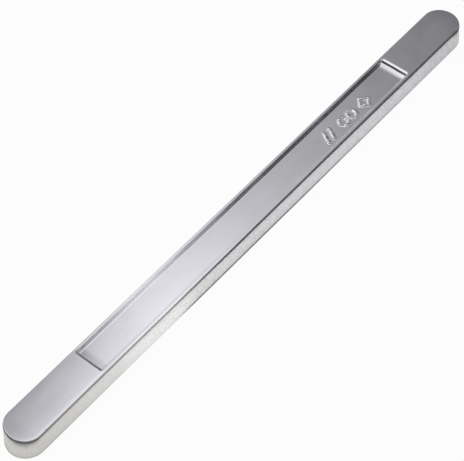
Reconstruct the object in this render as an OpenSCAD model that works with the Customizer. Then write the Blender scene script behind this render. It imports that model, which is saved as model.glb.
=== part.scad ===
// Solder bar: one cast stick of tin-lead solder with half-round ends.
// It lies on its poured face, the flat underside, with the mould face up.
// The sides draw in slightly towards the top, as they do for release from the mould.
// A long shallow panel is sunk into the upper face and leaves a narrow rim round it.

/* [Bar] */
// Length over both round ends, at the underside
bar_l = 345; // [250:1:420]
// Width of the upper face, before its edge is rounded
bar_w = 20.8; // [16:0.1:26]
// Height of the bar
bar_h = 13.5; // [10:0.1:20]
// Spread of each side between the upper face and the underside
side_draft = 0.25; // [0.1:0.05:1.5]
// Rounding of the edge round the upper face
top_edge_r = 1; // [0.3:0.05:1.1]
// Rounding of the edge round the underside
bottom_edge_r = 0.5; // [0.2:0.05:2]

/* [Sunk panel] */
// Plain length at each end, from the bar's tip to the lip of a panel in the middle
tab_l = 52.6; // [25:0.1:90]
// How far the panel's middle lies from the bar's middle, towards the far end
panel_shift = 1; // [-2:0.1:2]
// Width of the upper face kept beside the panel, with its rounded edge
rim_w = 1.3; // [1.1:0.05:2.5]
// Depth of the panel's floor below the upper face
panel_depth = 1.7; // [1.6:0.1:2.4]
// Lean of the panel's walls away from upright, in degrees
wall_lean = 20; // [8:1:30]
// Rounding of the lip, where the upper face turns down into the wall
lip_r = 0.8; // [0.2:0.05:0.8]
// Fillet between the wall and the floor
floor_r = 1; // [0.3:0.05:1]
// Corner radius of the panel's floor, seen from above
floor_corner_r = 0.3; // [0.2:0.05:2]

/* [Hidden] */
$fn = 96;
// How far a cutting shape stands clear above the face it cuts
clear_h = 1;
// Half widths of the upper face and of the underside; the latter is the radius of the ends
top_half = bar_w / 2;
base_half = top_half + side_draft;
// Length between the centres of the two round ends
straight_l = bar_l - 2 * base_half;
// Angle of the drafted side, and how far each rounding reaches back from its sharp corner
side_angle = atan(side_draft / bar_h);
top_reach = top_edge_r * tan(45 - side_angle / 2);
bottom_reach = bottom_edge_r * tan(45 + side_angle / 2);
// Fall of the panel's straight wall between lip and fillet, and the wall's whole run inwards
wall_fall = panel_depth - (lip_r + floor_r) * (1 - sin(wall_lean));
wall_run = (lip_r + floor_r) * cos(wall_lean) + wall_fall * tan(wall_lean);
// Corner radius of the panel at its lip, and the centres that its corners turn about
lip_corner_r = wall_run + floor_corner_r;
corner_x = bar_l / 2 - tab_l - lip_corner_r;
corner_y = top_half - rim_w - lip_corner_r;

// Right half of the bar's cross-section, standing on the underside
module half_section() {
    polygon([
        [0, 0],
        [base_half - bottom_reach, 0],
        [base_half - bottom_reach * sin(side_angle), bottom_reach * cos(side_angle)],
        [top_half + top_reach * sin(side_angle), bar_h - top_reach * cos(side_angle)],
        [top_half - top_reach, bar_h],
        [0, bar_h]
    ]);
    translate([base_half - bottom_reach, bottom_edge_r])
        circle(r = bottom_edge_r);
    translate([top_half - top_reach, bar_h - top_edge_r])
        circle(r = top_edge_r);
}

// The bar before its panel is sunk: a straight length with a half-round end at each side
module blank() {
    rotate([90, 0, 90])
        linear_extrude(height = straight_l, center = true) {
            half_section();
            mirror([1, 0])
                half_section();
        }
    for (side = [0, 1])
        mirror([side, 0, 0])
            translate([straight_l / 2, 0, 0])
                rotate([0, 0, -90])
                    rotate_extrude(angle = 180)
                        half_section();
}

// What the panel takes away beside one corner centre, from that centre out to the lip
module wall_section() {
    difference() {
        polygon([
            [0, bar_h - panel_depth],
            [floor_corner_r, bar_h - panel_depth],
            [
                floor_corner_r + floor_r * cos(wall_lean),
                bar_h - panel_depth + floor_r * (1 - sin(wall_lean))
            ],
            [
                lip_corner_r - lip_r * cos(wall_lean),
                bar_h - lip_r * (1 - sin(wall_lean))
            ],
            [lip_corner_r, bar_h],
            [lip_corner_r, bar_h + clear_h],
            [0, bar_h + clear_h]
        ]);
        translate([lip_corner_r, bar_h - lip_r])
            circle(r = lip_r);
    }
    intersection() {
        translate([floor_corner_r, bar_h - panel_depth + floor_r])
            circle(r = floor_r);
        translate([floor_corner_r, bar_h - panel_depth])
            square(floor_r);
    }
}

// Full section of the panel across two corner centres that lie half_gap off the middle
module panel_section(half_gap) {
    translate([-half_gap, bar_h - panel_depth])
        square([2 * half_gap, panel_depth + clear_h]);
    for (side = [0, 1])
        mirror([side, 0])
            translate([half_gap, 0])
                wall_section();
}

// The sunk panel: one run along the bar, one across it, and four turned corners
module panel() {
    rotate([90, 0, 90])
        linear_extrude(height = 2 * corner_x, center = true)
            panel_section(corner_y);
    rotate([90, 0, 0])
        linear_extrude(height = 2 * corner_y, center = true)
            panel_section(corner_x);
    for (end = [0, 1], side = [0, 1])
        mirror([end, 0, 0])
            mirror([0, side, 0])
                translate([corner_x, corner_y, 0])
                    rotate_extrude(angle = 90)
                        wall_section();
}

// The whole bar, one cast solid
module solder_bar() {
    color([0.78, 0.79, 0.8])
        difference() {
            blank();
            translate([panel_shift, 0, 0])
                panel();
        }
}

solder_bar();
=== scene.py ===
import math
from collections import namedtuple

import bpy
import bmesh
import numpy as np
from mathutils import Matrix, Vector, noise


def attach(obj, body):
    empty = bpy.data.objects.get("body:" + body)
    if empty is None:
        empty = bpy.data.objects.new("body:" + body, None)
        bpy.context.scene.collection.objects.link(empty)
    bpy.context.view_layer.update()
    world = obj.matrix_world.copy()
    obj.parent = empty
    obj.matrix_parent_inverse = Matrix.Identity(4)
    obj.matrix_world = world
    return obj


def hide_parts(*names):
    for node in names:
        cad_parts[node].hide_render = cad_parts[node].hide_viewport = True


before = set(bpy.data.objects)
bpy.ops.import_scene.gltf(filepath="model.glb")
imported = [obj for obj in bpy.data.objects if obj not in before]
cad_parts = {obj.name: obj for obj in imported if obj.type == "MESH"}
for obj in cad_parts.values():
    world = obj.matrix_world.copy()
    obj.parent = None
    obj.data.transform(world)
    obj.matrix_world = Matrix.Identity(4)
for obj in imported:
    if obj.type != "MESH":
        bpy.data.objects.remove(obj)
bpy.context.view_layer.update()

MM = 0.001

# Sizes of the casting in millimetres, as in the part's source
BAR_L = 345
BAR_W = 20.8
BAR_H = 13.5
SIDE_DRAFT = 0.25
BOTTOM_EDGE_R = 0.5
TAB_L = 52.6
PANEL_SHIFT = 1.0
RIM_W = 1.3
PANEL_DEPTH = 1.7
WALL_LEAN = math.radians(20)
LIP_R = 0.8
FLOOR_R = 1.0
FLOOR_CORNER_R = 0.3

# What follows from them
TOP_HALF = BAR_W / 2
BASE_HALF = TOP_HALF + SIDE_DRAFT
END_X = BAR_L / 2 - BASE_HALF
SIDE_ANGLE = math.atan(SIDE_DRAFT / BAR_H)
BOTTOM_REACH = BOTTOM_EDGE_R * math.tan(math.pi / 4 + SIDE_ANGLE / 2)
WALL_FALL = PANEL_DEPTH - (LIP_R + FLOOR_R) * (1 - math.sin(WALL_LEAN))
WALL_RUN = (LIP_R + FLOOR_R) * math.cos(WALL_LEAN) + WALL_FALL * math.tan(WALL_LEAN)
LIP_CORNER_R = WALL_RUN + FLOOR_CORNER_R
CORNER_X = BAR_L / 2 - TAB_L - LIP_CORNER_R
CORNER_Y = TOP_HALF - RIM_W - LIP_CORNER_R
LIP_X = CORNER_X + LIP_CORNER_R
LIP_Y = CORNER_Y + LIP_CORNER_R

# The edge round the upper face is worn: how far in over the face, how far down the side,
# and how much flat rim that leaves beside the panel
EDGE_WORN_IN = 0.6
EDGE_WORN_DOWN = 1.9
RIM_FLAT = RIM_W - EDGE_WORN_IN
# The near long edge was rubbed most: how far in and how deep
RUBBED_W = 2.8
RUBBED_H = 0.035
# How far the round ends lean in at the top, besides the draft
NEAR_LEAN = 1.4
FAR_LEAN = 0.75
# How far in the edges and the panel's lip wander, how far the upper face falls away at its edges,
# and how far the poured face sinks
EDGE_WANDER = 0.09
LIP_WANDER = 0.16
FACE_DISH = 0.12
UNDERSIDE_DIP = 0.28

# An end wall of the panel: slope, rounding at its top, how far that reaches past the drawn lip, then
# length, height and power of the floor's climb towards the wall (a dip where the height is negative),
# and the difference of depth over which wall and floor blend
EndWall = namedtuple("EndWall", "slope lip_r past length rise power blend")
NEAR_END = EndWall(math.radians(56), 1.3, 0.0, 4.5, -0.12, 2.0, 0.12)
FAR_END = EndWall(math.radians(42), 2.2, 0.9, 4.2, 0.35, 2.0, 0.3)

# Strips over which the lip's wandering dies out beside the panel's ends and on its floor,
# and the flat edge of the poured face and the strip over which it starts to sink
TAB_EASE = 2.0
FLOOR_EASE = 2.5
POUR_RIM = 1.0
POUR_EASE = 3.0
# Share of the poured face's dip that is even
POUR_EVEN = 0.55
# Shares of the edges' wander that are even and that vary
EDGE_SHARE = (0.65, 0.5)

# Lengths in millimetres over which the wandering changes, and where each kind starts in the noise
EDGE_WAVE, EDGE_SEED = 38, 5.3
LIP_WAVE, LIP_SIDE_SEED, LIP_END_SEED = 26, 3.7, 4.1
POUR_WAVE, POUR_SEED = (5.0, 14.0), 8.1
MARK_WAVE, MARK_SEED = 1.3, 11.2
# What lets opposite sides wander on their own: factors on y for the edges and for the lip's ends,
# and the distance in the noise of opposite lips from the middle
EDGE_STRETCH = 7
LIP_END_STRETCH = 5
LIPS_APART = 40
# Factor that spreads the noise over -1 to 1
NOISE_GAIN = 1.6

# The raised marks on the panel's floor, and the stretch of the bar that holds them
SLANTED_BARS = [((58.6, -4.6), (61.6, 1.4)), ((62.9, -4.6), (65.9, 1.4))]
RINGS = [(74.6, -1.6), (81.4, -1.6)]
RING_R = 2.5
LOZENGE = [(88.4, -1.6), (91.9, 1.7), (95.4, -1.6), (91.9, -4.9)]
MARKS_X = (56.0, 98.0)
# Height and half width of a stroke, the share by which each varies, and the power that
# fills out its crest
MARK_H, MARK_H_SPREAD = 0.56, 0.35
MARK_HALF_W, MARK_W_SPREAD = 1.05, 0.16
MARK_CREST = 0.8

# How closely the casting is divided along the bar: at plain lengths, marks, end walls, the floor's
# climb and just outside the lips; then how far past the wall, and past the near and the far lip,
# the close divisions go on
PLAIN_STEP = 3.0
MARK_STEP = 0.18
WALL_STEP = 0.15
CLIMB_STEP = 0.25
LIP_STEP = 0.2
WALL_MARGIN = 1.0
NEAR_STRIP = 0.6
FAR_STRIP = 0.4
# How closely it is divided across
FLOOR_STEP = 0.18
RIM_STEP = 0.2
UNDERSIDE_STEP = 1.3
# Points on the curves of the panel's wall, on the worn edge, on the edge underneath, down the
# side, and round each end
CURVE_POINTS = 9
WORN_POINTS = 14
BOTTOM_POINTS = 8
SIDE_POINTS = 8
ROUND_POINTS = 49
# Distances in metres under which points are joined and edges count as collapsed, and a distance
# in millimetres that counts as none
JOIN = 1e-7
COLLAPSED = 1e-8
TINY = 1e-6


# Shape of the casting

def spaced(start, stop, step):
    """Even numbers from start to stop, no further than step apart."""
    return np.linspace(start, stop, max(2, math.ceil(abs(stop - start) / step) + 1))


def wall_stations():
    """Distances inwards from the lip at which the panel's wall is divided, close where it curves."""
    lip = LIP_R * np.sin(np.linspace(0, math.pi / 2 - WALL_LEAN, CURVE_POINTS))
    fillet = WALL_RUN - FLOOR_R * np.sin(np.linspace(math.pi / 2 - WALL_LEAN, 0, CURVE_POINTS))
    return np.unique(np.round(np.concatenate([lip, fillet, [LIP_CORNER_R]]), 6))


def wall_depth(inward):
    """Depth of the panel below the upper face, at a distance inwards from its lip."""
    d = np.clip(inward, 0, WALL_RUN)
    lip_end = LIP_R * math.cos(WALL_LEAN)
    fillet_start = WALL_RUN - FLOOR_R * math.cos(WALL_LEAN)
    lip = LIP_R - np.sqrt(np.maximum(LIP_R**2 - np.minimum(d, lip_end) ** 2, 0))
    straight = LIP_R * (1 - math.sin(WALL_LEAN)) + (d - lip_end) / math.tan(WALL_LEAN)
    left = WALL_RUN - np.maximum(d, fillet_start)
    fillet = PANEL_DEPTH - FLOOR_R + np.sqrt(np.maximum(FLOOR_R**2 - left**2, 0))
    return np.where(d < lip_end, lip, np.where(d < fillet_start, straight, fillet))


def end_wall_at(x):
    """The sizes of the end wall on the same half of the panel as each place along the bar."""
    return EndWall(*(np.where(x > PANEL_SHIFT, far, near) for far, near in zip(FAR_END, NEAR_END)))


def inward_of_end(x, wall):
    """Distance inwards from the lip of an end wall."""
    return np.maximum(LIP_X + wall.past - np.abs(x - PANEL_SHIFT), 0)


def floor_climb(x):
    """Height by which the floor climbs towards the panel's end walls; negative where it dips."""
    wall = end_wall_at(x)
    left = np.clip(1 - (inward_of_end(x, wall) - WALL_RUN) / wall.length, 0, 1)
    return wall.rise * left**wall.power


def end_depth(x):
    """Depth of the panel below the upper face as its two end walls and the uneven floor leave it."""
    wall = end_wall_at(x)
    inward = inward_of_end(x, wall)
    round_end = wall.lip_r * np.sin(wall.slope)
    lip = wall.lip_r - np.sqrt(wall.lip_r**2 - np.minimum(inward, round_end) ** 2)
    fall = lip + np.maximum(inward - round_end, 0) * np.tan(wall.slope)
    floor = PANEL_DEPTH - floor_climb(x)
    # The wall runs out into the floor over a hollow
    gap = np.clip((fall - floor) / wall.blend, -1, 1)
    return np.maximum(np.minimum(fall, floor) - wall.blend / 4 * (1 - np.abs(gap)) ** 2, 0)


def inward_of_lip(x, y):
    """Distance inwards from the panel's lip, a rectangle with round corners; negative outside it."""
    over_x = np.abs(x - PANEL_SHIFT) - CORNER_X - end_wall_at(x).past
    over_y = np.abs(y) - CORNER_Y
    outside = np.hypot(np.maximum(over_x, 0), np.maximum(over_y, 0))
    return LIP_CORNER_R - outside - np.minimum(np.maximum(over_x, over_y), 0)


def panel_depth(x, y):
    """Depth of the whole panel below the upper face, and nothing outside it."""
    inward = inward_of_lip(x, y)
    depth = np.minimum(wall_depth(inward) + np.maximum(-floor_climb(x), 0), end_depth(x))
    return np.where(inward > 0, depth, 0)


def to_stroke(x, y, start, end):
    """Distance from points to a straight stroke."""
    ax, ay = start
    dx, dy = end[0] - ax, end[1] - ay
    along = np.clip(((x - ax) * dx + (y - ay) * dy) / (dx * dx + dy * dy), 0, 1)
    return np.hypot(x - ax - along * dx, y - ay - along * dy)


def to_ring(x, y, centre, radius):
    """Distance from points to a ring's middle line."""
    return np.abs(np.hypot(x - centre[0], y - centre[1]) - radius)


def mark_height(x, y):
    """Height of the raised marks, as uneven as cast ones are."""
    wobble = wander(x, y, MARK_WAVE, MARK_SEED)
    lozenge_sides = list(zip(LOZENGE, LOZENGE[1:] + LOZENGE[:1]))
    strokes = [to_stroke(x, y, start, end) for start, end in SLANTED_BARS + lozenge_sides]
    strokes += [to_ring(x, y, centre, RING_R) for centre in RINGS]
    nearest = np.minimum.reduce(strokes) / (MARK_HALF_W * (1 + MARK_W_SPREAD * wobble))
    rise = 0.5 + 0.5 * np.cos(math.pi * np.clip(nearest, 0, 1))
    height = MARK_H * (1 + MARK_H_SPREAD * wobble) * rise**MARK_CREST
    return np.where((x > MARKS_X[0]) & (x < MARKS_X[1]), height, 0)


def shell_profile():
    """Half of the outer section as (y, z), from the upper face's flat out, down the side and in below.

    The upper edge is worn to a round that reaches further down the side than in over the face."""
    top = np.linspace(0, math.pi / 2, WORN_POINTS)
    bottom = np.linspace(SIDE_ANGLE, -math.pi / 2, BOTTOM_POINTS)
    out = TOP_HALF + EDGE_WORN_DOWN * math.tan(SIDE_ANGLE)
    top_y = out - EDGE_WORN_IN * (1 - np.sin(top))
    top_z = BAR_H - EDGE_WORN_DOWN * (1 - np.cos(top))
    low_y = BASE_HALF - BOTTOM_REACH + BOTTOM_EDGE_R * np.cos(bottom)
    low_z = BOTTOM_EDGE_R + BOTTOM_EDGE_R * np.sin(bottom)
    side = np.linspace(0, 1, SIDE_POINTS)[1:-1, None]
    upper_end = np.array([top_y[-1], top_z[-1]])
    lower_start = np.array([low_y[0], low_z[0]])
    side_points = upper_end + (lower_start - upper_end) * side
    inner = spaced(low_y[-1], 0, UNDERSIDE_STEP)[1:]
    return np.concatenate([
        np.stack([top_y, top_z], 1),
        side_points,
        np.stack([low_y, low_z], 1),
        np.stack([inner, np.zeros_like(inner)], 1),
    ])


def half_section():
    """Half of the section, from the middle of the upper face round to that of the underside."""
    shell = shell_profile()
    walls = np.sort(LIP_Y - wall_stations())
    floor = spaced(0, walls[0], FLOOR_STEP)[:-1]
    rim = spaced(walls[-1], shell[0, 0], RIM_STEP)[1:-1]
    across = np.concatenate([floor, walls, rim])
    top = np.stack([across, np.full_like(across, BAR_H)], 1)
    return np.concatenate([top, shell])


def stations():
    """Places where the straight length is divided, close at the marks and the panel's ends."""
    near_lip = PANEL_SHIFT - LIP_X - NEAR_END.past
    far_lip = PANEL_SHIFT + LIP_X + FAR_END.past
    wall = np.unique(np.concatenate([wall_stations(), spaced(0, WALL_RUN + WALL_MARGIN, WALL_STEP)]))
    near_wall, far_wall = near_lip + wall, far_lip - wall
    near_flat, far_flat = near_wall.max() + NEAR_END.length, far_wall.min() - FAR_END.length
    parts = [
        spaced(-END_X, near_lip - NEAR_STRIP, PLAIN_STEP),
        spaced(near_lip - NEAR_STRIP, near_lip, LIP_STEP),
        near_wall,
        spaced(near_wall.max(), near_flat, CLIMB_STEP),
        spaced(near_flat, MARKS_X[0], PLAIN_STEP),
        spaced(*MARKS_X, MARK_STEP),
        spaced(MARKS_X[1], far_flat, PLAIN_STEP),
        spaced(far_flat, far_wall.min(), CLIMB_STEP),
        far_wall,
        spaced(far_lip, far_lip + FAR_STRIP, LIP_STEP),
        spaced(far_lip + FAR_STRIP, END_X, PLAIN_STEP),
    ]
    return np.unique(np.round(np.concatenate(parts), 5))


def wander(x, y, length, seed):
    """A smooth random number from -1 to 1 at each point, that changes over that many millimetres."""
    long_x, long_y = np.broadcast_to(length, (2,))
    points = np.stack([x / long_x + seed, y / long_y + seed, np.full_like(x, seed)], -1)
    values = np.array([noise.noise(Vector(point)) for point in points])
    return (values * NOISE_GAIN).clip(-1, 1)


def lip_shift(x, y):
    """How far the panel's walls and lip lean in more than drawn, along the bar and across it."""
    from_end, from_side = LIP_X - np.abs(x - PANEL_SHIFT), LIP_Y - np.abs(y)
    in_panel = np.clip(1 + from_end / TAB_EASE, 0, 1) * np.clip(1 + from_side / RIM_FLAT, 0, 1)
    at_end = in_panel * np.clip(1 - (from_end - WALL_RUN) / FLOOR_EASE, 0, 1)
    at_side = in_panel * np.clip(1 - (from_side - WALL_RUN) / FLOOR_EASE, 0, 1)
    ends = wander(LIPS_APART * np.sign(x), LIP_END_STRETCH * y, LIP_WAVE, LIP_END_SEED)
    sides = wander(x, LIPS_APART * np.sign(y), LIP_WAVE, LIP_SIDE_SEED)
    return at_end * LIP_WANDER * (0.5 + 0.5 * ends), at_side * LIP_WANDER * (0.5 + 0.5 * sides)


def crown(y, reach):
    """How far the upper face falls away towards its edges, most of all at the rubbed near one."""
    rubbed = np.clip((reach - TOP_HALF + RUBBED_W) / (RUBBED_W - EDGE_WORN_IN), 0, 1) ** 2
    return FACE_DISH * (reach / TOP_HALF) ** 2 + RUBBED_H * rubbed * np.clip(-y / TOP_HALF, 0, 1)


def poured_height(x, y, reach):
    """Height of the poured face, which sinks as it cools and keeps the ripples of the pour."""
    edge_in = np.clip((BASE_HALF - POUR_RIM - reach) / POUR_EASE, 0, 1)
    sunk = edge_in * edge_in * (3 - 2 * edge_in)
    ripple = 0.5 + 0.5 * wander(x, y, POUR_WAVE, POUR_SEED)
    return UNDERSIDE_DIP * sunk * (POUR_EVEN + (1 - POUR_EVEN) * ripple)


def edge_pull(x, y, reach):
    """Share of its distance from the middle line by which each point wanders inwards."""
    even, varied = EDGE_SHARE
    pull = EDGE_WANDER * (even + varied * wander(x, EDGE_STRETCH * y, EDGE_WAVE, EDGE_SEED))
    return pull * np.clip(reach / BASE_HALF, 0, 1) ** 3 / np.maximum(reach, TINY)


def as_cast(points):
    """Moves drawn points in millimetres to where the cast surface lies."""
    x, y, z = points.T
    on_top = z > BAR_H - TINY
    underneath = z < TINY
    past_end = np.maximum(np.abs(x) - END_X, 0)
    reach = np.hypot(past_end, y)

    end_lean = np.where(x > 0, FAR_LEAN, NEAR_LEAN) * (past_end / BASE_HALF) * (z / BAR_H)
    lip_x, lip_y = lip_shift(x, y)
    pull = edge_pull(x, y, reach)
    fall = crown(y, reach)

    upper = z - panel_depth(x, y) - fall + mark_height(x, y)
    moved_z = np.where(on_top, upper, z - fall * (z / BAR_H))
    moved_z = np.where(underneath, poured_height(x, y, reach), moved_z)
    moved_x = x - np.sign(x) * (past_end * pull + lip_x * on_top + end_lean)
    moved_y = y - y * pull - np.sign(y) * lip_y * on_top
    return np.stack([moved_x, moved_y, moved_z], -1)


def quads(grid):
    """Points of a grid (rows, columns, 3) and the faces between them."""
    rows, columns = grid.shape[:2]
    index = np.arange(rows * columns).reshape(rows, columns)
    faces = np.stack([index[:-1, :-1], index[:-1, 1:], index[1:, 1:], index[1:, :-1]], -1)
    return grid.reshape(-1, 3), faces.reshape(-1, 4)


def straight_length(half):
    """The drawn bar between its round ends, as a grid of points."""
    full = np.concatenate([half[::-1], (half * (-1, 1))[1:]])
    along = stations()
    straight = np.empty((len(along), len(full), 3))
    straight[..., 0] = along[:, None]
    straight[..., 1:] = full
    return straight


def round_end(half, side):
    """The drawn half-round end at the near (-1) or far (1) side, as a grid of points."""
    turn = np.linspace(-math.pi / 2, math.pi / 2, ROUND_POINTS)
    end = np.empty((len(turn), len(half), 3))
    end[..., 0] = side * (END_X + half[:, 0] * np.cos(turn)[:, None])
    end[..., 1] = half[:, 0] * np.sin(turn)[:, None]
    end[..., 2] = half[:, 1]
    return end


def casting_mesh():
    """The whole bar as one closed mesh: a straight length and two half-round ends."""
    half = half_section()
    offset, all_points, all_faces = 0, [], []
    for grid in (straight_length(half), round_end(half, -1), round_end(half, 1)):
        points, faces = quads(grid)
        all_points.append(points)
        all_faces.append(faces + offset)
        offset += len(points)
    points = as_cast(np.concatenate(all_points)) * MM
    mesh = bpy.data.meshes.new("cast_bar")
    mesh.from_pydata(points.tolist(), [], np.concatenate(all_faces).tolist())
    work = bmesh.new()
    work.from_mesh(mesh)
    bmesh.ops.remove_doubles(work, verts=work.verts, dist=JOIN)
    bmesh.ops.dissolve_degenerate(work, edges=work.edges, dist=COLLAPSED)
    bmesh.ops.recalc_face_normals(work, faces=work.faces)
    for face in work.faces:
        face.smooth = True
    work.to_mesh(mesh)
    work.free()
    return mesh


# Helpers for the shader trees

def empty_material(name):
    """A new material, its tree and the surface socket of the output, the tree's only node."""
    material = bpy.data.materials.new(name)
    material.use_nodes = True
    tree = material.node_tree
    tree.nodes.clear()
    output = node(tree, "ShaderNodeOutputMaterial", (900, 0))
    return material, tree, output.inputs["Surface"]


def node(tree, kind, place, **inputs):
    """A shader node at a place in the tree, with its unlinked inputs set by name."""
    made = tree.nodes.new(kind)
    made.location = place
    for name, value in inputs.items():
        made.inputs[name.replace("_", " ")].default_value = value
    return made


def separated(tree, kind, source, place=(-1100, 0)):
    """The outputs of a node that takes a vector or colour apart."""
    made = node(tree, kind, place)
    tree.links.new(source, made.inputs[0])
    return made.outputs


def eased(tree, source, start, stop, low=0.0, high=1.0, kind="SMOOTHSTEP"):
    """A number that goes from low to high while the source goes from start to stop."""
    step = tree.nodes.new("ShaderNodeMapRange")
    step.interpolation_type = kind
    for name, value in (("From Min", start), ("From Max", stop), ("To Min", low), ("To Max", high)):
        step.inputs[name].default_value = value
    tree.links.new(source, step.inputs["Value"])
    return step.outputs["Result"]


def reckon(tree, operation, first, second=0.0):
    """The result of one sum; each side is a number or a socket."""
    made = tree.nodes.new("ShaderNodeMath")
    made.operation = operation
    for socket, value in zip(made.inputs, (first, second)):
        if isinstance(value, (int, float)):
            socket.default_value = value
        else:
            tree.links.new(value, socket)
    return made.outputs["Value"]


def product(tree, first, second):
    """Two numbers or sockets multiplied."""
    return reckon(tree, "MULTIPLY", first, second)


def traced(tree, source, points):
    """A number that runs straight between points (source, value) and stays level beyond them."""
    total = points[0][1]
    for (start, low), (stop, high) in zip(points, points[1:]):
        total = reckon(tree, "ADD", total, eased(tree, source, start, stop, 0.0, high - low, "LINEAR"))
    return total


def blended(tree, first, second, weight):
    """Goes from the first number to the second as the weight goes from 0 to 1."""
    return reckon(tree, "ADD", first, product(tree, reckon(tree, "SUBTRACT", second, first), weight))


# Finish of the metal

BARE_METAL = (0.88, 0.868, 0.93)
# Noise patterns: patches in a metre, how much fine detail they hold, how rough that is,
# and factors below 1 along the axes that they are drawn out along
CLOUDS = {"scale": 110.0, "detail": 3.0, "stretch": (0.5, 1.0, 1.0)}
RIPPLES = {"scale": 95.0, "detail": 1.5, "stretch": (0.35, 1.0, 1.0)}
FROST = {"scale": 1500.0, "detail": 2.0, "roughness": 0.7}
MOTTLE = {"scale": 1100.0, "detail": 1.0}
SCUFFS_ALONG = {"scale": 900.0, "detail": 1.0, "stretch": (0.06, 1.0, 1.0)}
SCUFFS_ACROSS = {"scale": 500.0, "detail": 1.0, "stretch": (1.0, 0.05, 1.0)}
# How much a surface faces up, where it starts to count as side or underside and where it fully does
SIDE_FACING = (0.28, 0.08)
BELOW_FACING = (-0.5, -0.9)
# Values of the noise at which its work starts and is complete
NOISE_SPAN = (0.3, 0.7)
MOTTLE_SPAN = (0.36, 0.64)
ALONG_SPAN = (0.66, 0.8)
ACROSS_SPAN = (0.7, 0.8)
# The side wall's grain grows between two places along the bar, in metres, from a share to the whole
GRAIN_PLACES = (-0.1, -0.05)
GRAIN_SHARES = (0.4, 1.0)
# Factors on the metal's colour, weakest and strongest
CLOUD_SHADE = (0.985, 1.015)
FROST_SHADE = (0.93, 1.05)
MOTTLE_SHADE = (0.87, 1.08)
CRYSTAL_SHADE = (0.74, 0.9)
# The pits' factor is painted shade in their hollows
PIT_PAINTED_SHADE = 0.55
# Roughness of the upper faces, the sides and the underside, and what a scuff adds
TOP_ROUGH = (0.11, 0.15)
SIDE_ROUGH = (0.16, 0.3)
BELOW_ROUGH = (0.26, 0.42)
SCUFF_ROUGH = 0.07
# Relief in millimetres
RIPPLE_H = 0.02
FROST_H = 0.0022
SCUFF_DEPTH = 0.0012
PIT_DEPTH = 0.06
CRYSTAL_DEPTH = 0.03
# Cells in a metre for pits and crystals, radius of a pit in cells, and the share of cells that have one
PIT_SCALE = 190.0
CRYSTAL_SCALE = 260.0
PIT_SIZE = 0.07
PIT_SHARE = 0.16


def clouded(tree, place, scale, detail, stretch=(1.0, 1.0, 1.0), roughness=0.5):
    """Noise from 0 to 1; a stretch factor below 1 draws its patches out along that axis."""
    drawn = node(tree, "ShaderNodeVectorMath", (-900, 0))
    drawn.operation = "MULTIPLY"
    drawn.inputs[1].default_value = stretch
    tree.links.new(place, drawn.inputs[0])
    made = node(tree, "ShaderNodeTexNoise", (-700, 0), Scale=scale, Detail=detail, Roughness=roughness)
    tree.links.new(drawn.outputs["Vector"], made.inputs["Vector"])
    return made.outputs["Fac"]


def celled(tree, place, scale):
    """Cells: the distance from the middle of each, and the outputs of its random colour."""
    cells = node(tree, "ShaderNodeTexVoronoi", (-700, -400), Scale=scale)
    tree.links.new(place, cells.inputs["Vector"])
    return cells.outputs["Distance"], separated(tree, "ShaderNodeSeparateColor", cells.outputs["Color"])


def pitted(tree, place):
    """Small round pits, 1 at their middle, in some of the cells."""
    distance, drawn = celled(tree, place, PIT_SCALE)
    chosen = reckon(tree, "LESS_THAN", drawn["Red"], PIT_SHARE)
    return product(tree, eased(tree, distance, PIT_SIZE, 0.0), chosen)


def scuffed(tree, place):
    """Fine handling marks, drawn out along the bar and across it."""
    along = eased(tree, clouded(tree, place, **SCUFFS_ALONG), *ALONG_SPAN)
    across = eased(tree, clouded(tree, place, **SCUFFS_ACROSS), *ACROSS_SPAN)
    return reckon(tree, "MAXIMUM", along, across)


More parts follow.
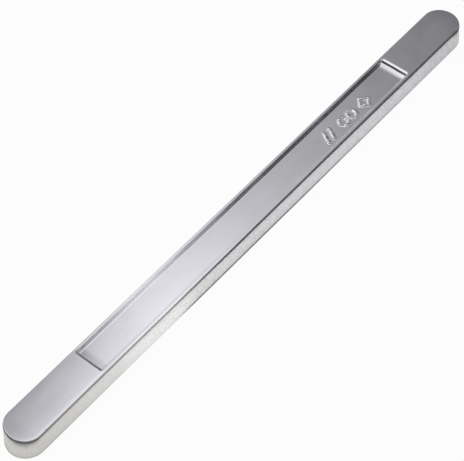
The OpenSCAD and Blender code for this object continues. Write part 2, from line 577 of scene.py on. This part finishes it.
def cast_metal(name):
    """Bright tin-lead as cast: smooth and faintly rippled above, frosted at the sides, dull below."""
    material, tree, surface = empty_material(name)
    link = tree.links.new
    metal = node(tree, "ShaderNodeBsdfPrincipled", (600, 0), Metallic=1.0)
    link(metal.outputs["BSDF"], surface)

    # Where a point lies and which way it faces
    coordinates = node(tree, "ShaderNodeTexCoord", (-1300, 0))
    place = coordinates.outputs["Object"]
    along = separated(tree, "ShaderNodeSeparateXYZ", place)["X"]
    upward = separated(tree, "ShaderNodeSeparateXYZ", coordinates.outputs["Normal"])["Z"]
    side = eased(tree, reckon(tree, "ABSOLUTE", upward), *SIDE_FACING)
    grain = product(tree, side, eased(tree, along, *GRAIN_PLACES, *GRAIN_SHARES))
    below = eased(tree, upward, *BELOW_FACING)

    # Patches of the mould wall, the fine frost of the cooled skin, and crystals, pits and scuffs
    clouds = clouded(tree, place, **CLOUDS)
    frost = clouded(tree, place, **FROST)
    mottle = clouded(tree, place, **MOTTLE)
    ripples = clouded(tree, place, **RIPPLES)
    crystals, leaf = celled(tree, place, CRYSTAL_SCALE)
    pits = pitted(tree, place)
    scuffs = scuffed(tree, place)

    # Colour: each side's own pattern darkens or lightens the bare metal, and painted shade darkens the
    # pits
    speck = eased(tree, frost, *NOISE_SPAN, *FROST_SHADE)
    speck = product(tree, speck, eased(tree, mottle, *MOTTLE_SPAN, *MOTTLE_SHADE))
    dull = eased(tree, leaf["Green"], 0.0, 1.0, *CRYSTAL_SHADE)
    shade = eased(tree, clouds, *NOISE_SPAN, *CLOUD_SHADE)
    shade = product(tree, shade, blended(tree, 1.0, speck, grain))
    shade = product(tree, shade, blended(tree, 1.0, dull, below))
    # Painted shade in the pits
    shade = product(tree, shade, eased(tree, pits, 0.0, 1.0, 1.0, PIT_PAINTED_SHADE))
    colour = node(tree, "ShaderNodeCombineColor", (300, 300))
    for socket, part in zip(colour.inputs, BARE_METAL):
        link(product(tree, shade, part), socket)
    link(colour.outputs["Color"], metal.inputs["Base Color"])

    # Roughness by face
    rough = eased(tree, clouds, *NOISE_SPAN, *TOP_ROUGH)
    rough = blended(tree, rough, eased(tree, frost, *NOISE_SPAN, *SIDE_ROUGH), side)
    rough = blended(tree, rough, eased(tree, leaf["Red"], 0.0, 1.0, *BELOW_ROUGH), below)
    rough = reckon(tree, "ADD", rough, product(tree, scuffs, SCUFF_ROUGH))
    link(rough, metal.inputs["Roughness"])

    # Relief: what stands up, less what is sunk
    relief = reckon(tree, "ADD", product(tree, ripples, RIPPLE_H), product(tree, frost, FROST_H))
    sunken = ((scuffs, SCUFF_DEPTH), (pits, PIT_DEPTH), (product(tree, crystals, below), CRYSTAL_DEPTH))
    for pattern, depth in sunken:
        relief = reckon(tree, "SUBTRACT", relief, product(tree, pattern, depth))
    bump = node(tree, "ShaderNodeBump", (300, -300), Strength=1.0, Distance=MM)
    link(relief, bump.inputs["Height"])
    link(bump.outputs["Normal"], metal.inputs["Normal"])
    return material


bar = bpy.data.objects.new("cast_bar", casting_mesh())
bpy.context.scene.collection.objects.link(bar)
bar.data.materials.append(cast_metal("solder_as_cast"))
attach(bar, "root")
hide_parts("solder_bar")


# Floor

FLOOR_HALF = 6.0
PAPER = (0.86, 0.86, 0.86, 1)
# Share of the floor that shows plain white to the camera and its painted pattern of light and shade in
# the metal;
# the rest is lit paper, which takes the bar's shadow
FLOOR_WHITE = 0.96

# How bright the floor's painted glow shows in the metal, a painted reflection, by place along the bar
# in metres
PAINTED_GLOW_ALONG = [
    (-0.16, 0.67), (-0.11, 0.83), (-0.09, 1.0), (-0.065, 1.0),
    (-0.045, 0.84), (0.0, 0.77), (0.1, 0.73), (0.16, 0.64),
]
# How much blue is in that painted light, against as much red and green as it is bright
PAINTED_GLOW_BLUE = [(-0.16, 0.9), (-0.08, 0.93), (0.0, 0.965), (0.1, 0.98)]
# Its painted brightness by distance from the bar's middle line: a bright band close beside the bar, a
# dark one further out, then paler again
PAINTED_GLOW_ACROSS = [
    (0.0125, 0.95), (0.0135, 0.97), (0.0155, 1.08), (0.0178, 1.08),
    (0.0192, 0.2), (0.026, 0.04), (0.06, 0.04), (0.12, 0.8),
]
# How much of what the painted glow loses further out is made good, by place along the bar
PAINTED_GLOW_SPREAD = [(-0.165, 0.1), (-0.14, 0.3), (-0.06, 0.3), (-0.02, 0.0)]
# The painted contact shadow: a dark line where the bar meets the floor, seen in the metal, and how
# strong it is along the bar
PAINTED_FOOT_SHADOW = [(0.0109, 0.05), (0.0119, 1.0)]
FOOT_SHADOW_ALONG = [
    (-0.16, 0.25), (-0.1, 0.1), (-0.068, 0.15), (-0.055, 1.0),
    (0.03, 1.0), (0.06, 0.65), (0.1, 0.4), (0.15, 0.2),
]


def reach_of(tree, along, across):
    """Distance on the floor from the bar's middle line, which ends where its round ends begin."""
    past = reckon(tree, "SUBTRACT", reckon(tree, "ABSOLUTE", along), END_X * MM)
    past = reckon(tree, "MAXIMUM", past, 0.0)
    squares = reckon(tree, "ADD", product(tree, past, past), product(tree, across, across))
    return reckon(tree, "SQRT", squares)


def painted_floor_glow(tree, along, reach):
    """How bright the floor's painted glow shows in the metal, from 0 to 1, less a painted shadow at the
    bar's foot.
    """
    spread = blended(tree, traced(tree, reach, PAINTED_GLOW_ACROSS), 1.0, traced(tree, along, PAINTED_GLOW_SPREAD))
    # Painted shadow where the bar stands on the floor
    foot_shadow = blended(tree, 1.0, traced(tree, reach, PAINTED_FOOT_SHADOW), traced(tree, along, FOOT_SHADOW_ALONG))
    lit = product(tree, product(tree, traced(tree, along, PAINTED_GLOW_ALONG), spread), foot_shadow)
    return reckon(tree, "MINIMUM", lit, 1.0)


def paper_with_painted_glow():
    """Pale paper that shows plain white to the camera and a painted pattern of light and shade in the
    metal.
    """
    material, tree, surface = empty_material("studio_floor")
    link = tree.links.new
    paper = node(tree, "ShaderNodeBsdfDiffuse", (0, 100), Color=PAPER)
    white = node(tree, "ShaderNodeEmission", (0, -100), Strength=1.0)
    ray = node(tree, "ShaderNodeLightPath", (-600, 0)).outputs
    place = node(tree, "ShaderNodeTexCoord", (-1300, -200)).outputs["Object"]
    split = separated(tree, "ShaderNodeSeparateXYZ", place)
    along = split["X"]
    # Painted light: a glow that no lamp gives, laid on the floor for the metal to reflect
    lit = painted_floor_glow(tree, along, reach_of(tree, along, split["Y"]))
    blue = product(tree, lit, traced(tree, along, PAINTED_GLOW_BLUE))
    colour = node(tree, "ShaderNodeCombineColor", (-200, -100))
    for socket, value in zip(colour.inputs, (lit, lit, blue)):
        link(blended(tree, value, 1.0, ray["Is Camera Ray"]), socket)
    link(colour.outputs["Color"], white.inputs["Color"])
    mirrored = reckon(tree, "MAXIMUM", ray["Is Glossy Ray"], ray["Is Transmission Ray"])
    shown = product(tree, reckon(tree, "MAXIMUM", mirrored, ray["Is Camera Ray"]), FLOOR_WHITE)
    mix = node(tree, "ShaderNodeMixShader", (300, 0))
    link(shown, mix.inputs["Fac"])
    link(paper.outputs["BSDF"], mix.inputs[1])
    link(white.outputs["Emission"], mix.inputs[2])
    link(mix.outputs["Shader"], surface)
    return material


def studio_floor():
    """A plain pale floor, white to the camera; in the metal it shows a painted glow, brightest close
    beside the bar.
    """
    mesh = bpy.data.meshes.new("studio_floor")
    corners = [(-1, -1), (1, -1), (1, 1), (-1, 1)]
    mesh.from_pydata([(x * FLOOR_HALF, y * FLOOR_HALF, 0) for x, y in corners], [], [(0, 1, 2, 3)])
    mesh.materials.append(paper_with_painted_glow())
    floor = bpy.data.objects.new("studio_floor", mesh)
    bpy.context.scene.collection.objects.link(floor)


# Light

# Brightness of the studio by direction along the bar (-1 near, 1 far), at four heights
# from the backdrop over the top to the front
BACKDROP = [
    (-0.3, 0.6), (0.0, 0.75), (0.3, 0.79), (0.41, 0.86),
    (0.47, 0.67), (0.52, 0.56), (0.7, 0.38), (0.9, 0.15),
]
BEHIND = [
    (-0.9, 0.5), (-0.8, 0.05), (-0.5, 0.05), (-0.36, 1.15), (0.0, 1.15), (0.2, 0.28), (0.3, 0.2),
    (0.36, 0.42), (0.394, 0.85), (0.425, 0.79), (0.475, 0.52), (0.51, 0.41), (0.555, 0.29),
    (0.594, 0.2), (0.9, 0.06), (0.98, 0.4),
]
OVERHEAD = [
    (-0.8, 0.26), (-0.6, 0.26), (-0.4, 1.1), (0.0, 1.1), (0.3, 0.99), (0.394, 1.2), (0.42, 1.12),
    (0.46, 0.68), (0.51, 0.43), (0.594, 0.21), (0.9, 0.06), (0.98, 0.4),
]
FRONT = [
    (-0.4, 0.2), (0.0, 0.35), (0.3, 0.4), (0.34, 0.4), (0.355, 0.1), (0.37, 0.12), (0.385, 0.8),
    (0.395, 1.1), (0.41, 0.85), (0.43, 0.55), (0.445, 0.22), (0.46, 0.05), (0.62, 0.02), (0.72, 0.4),
]
# Where each height gives way to the next: angles from straight up in radians, positive to the backdrop
BACKDROP_ENDS = (1.05, 0.65)
BEHIND_ENDS = (0.56, 0.3)
OVERHEAD_ENDS = (0.25, -0.4)


def studio_world():
    """Soft light from a lamp overhead, an arch of light over the near half and a pale backdrop."""
    world = bpy.data.worlds.new("studio")
    world.use_nodes = True
    tree = world.node_tree
    place = tree.nodes.new("ShaderNodeTexCoord")
    parts = separated(tree, "ShaderNodeSeparateXYZ", place.outputs["Generated"])
    along = parts["X"]
    turn = reckon(tree, "ARCTAN2", parts["Y"], parts["Z"])
    total = traced(tree, along, BACKDROP)
    for row, ends, kind in (
        (BEHIND, BACKDROP_ENDS, "SMOOTHSTEP"),
        (OVERHEAD, BEHIND_ENDS, "LINEAR"),
        (FRONT, OVERHEAD_ENDS, "SMOOTHSTEP"),
    ):
        weight = eased(tree, turn, *ends, kind=kind)
        total = blended(tree, total, traced(tree, along, row), weight)
    background = tree.nodes["Background"]
    background.inputs["Color"].default_value = (1, 1, 1, 1)
    tree.links.new(total, background.inputs["Strength"])
    bpy.context.scene.world = world


# Camera, as fitted to the photo

# Place in metres, turn in degrees, sensor and lens in millimetres, nearest and furthest sight in metres
CAMERA_PLACE = (-0.42041, -0.36612, 0.71213)
CAMERA_TURN = (37.8159, 1.6815, -50.1694)
SENSOR_W = 36
LENS = 139.553
SIGHT = (0.01, 100)


def photo_camera():
    """A camera that sees the bar as in the photo."""
    data = bpy.data.cameras.new("camera")
    data.sensor_width = SENSOR_W
    data.lens = LENS
    data.clip_start, data.clip_end = SIGHT
    camera = bpy.data.objects.new("camera", data)
    camera.location = CAMERA_PLACE
    camera.rotation_euler = [math.radians(angle) for angle in CAMERA_TURN]
    bpy.context.scene.collection.objects.link(camera)
    return camera


studio_floor()
studio_world()
bpy.context.scene.camera = photo_camera()
bpy.context.scene.view_settings.view_transform = "Standard"
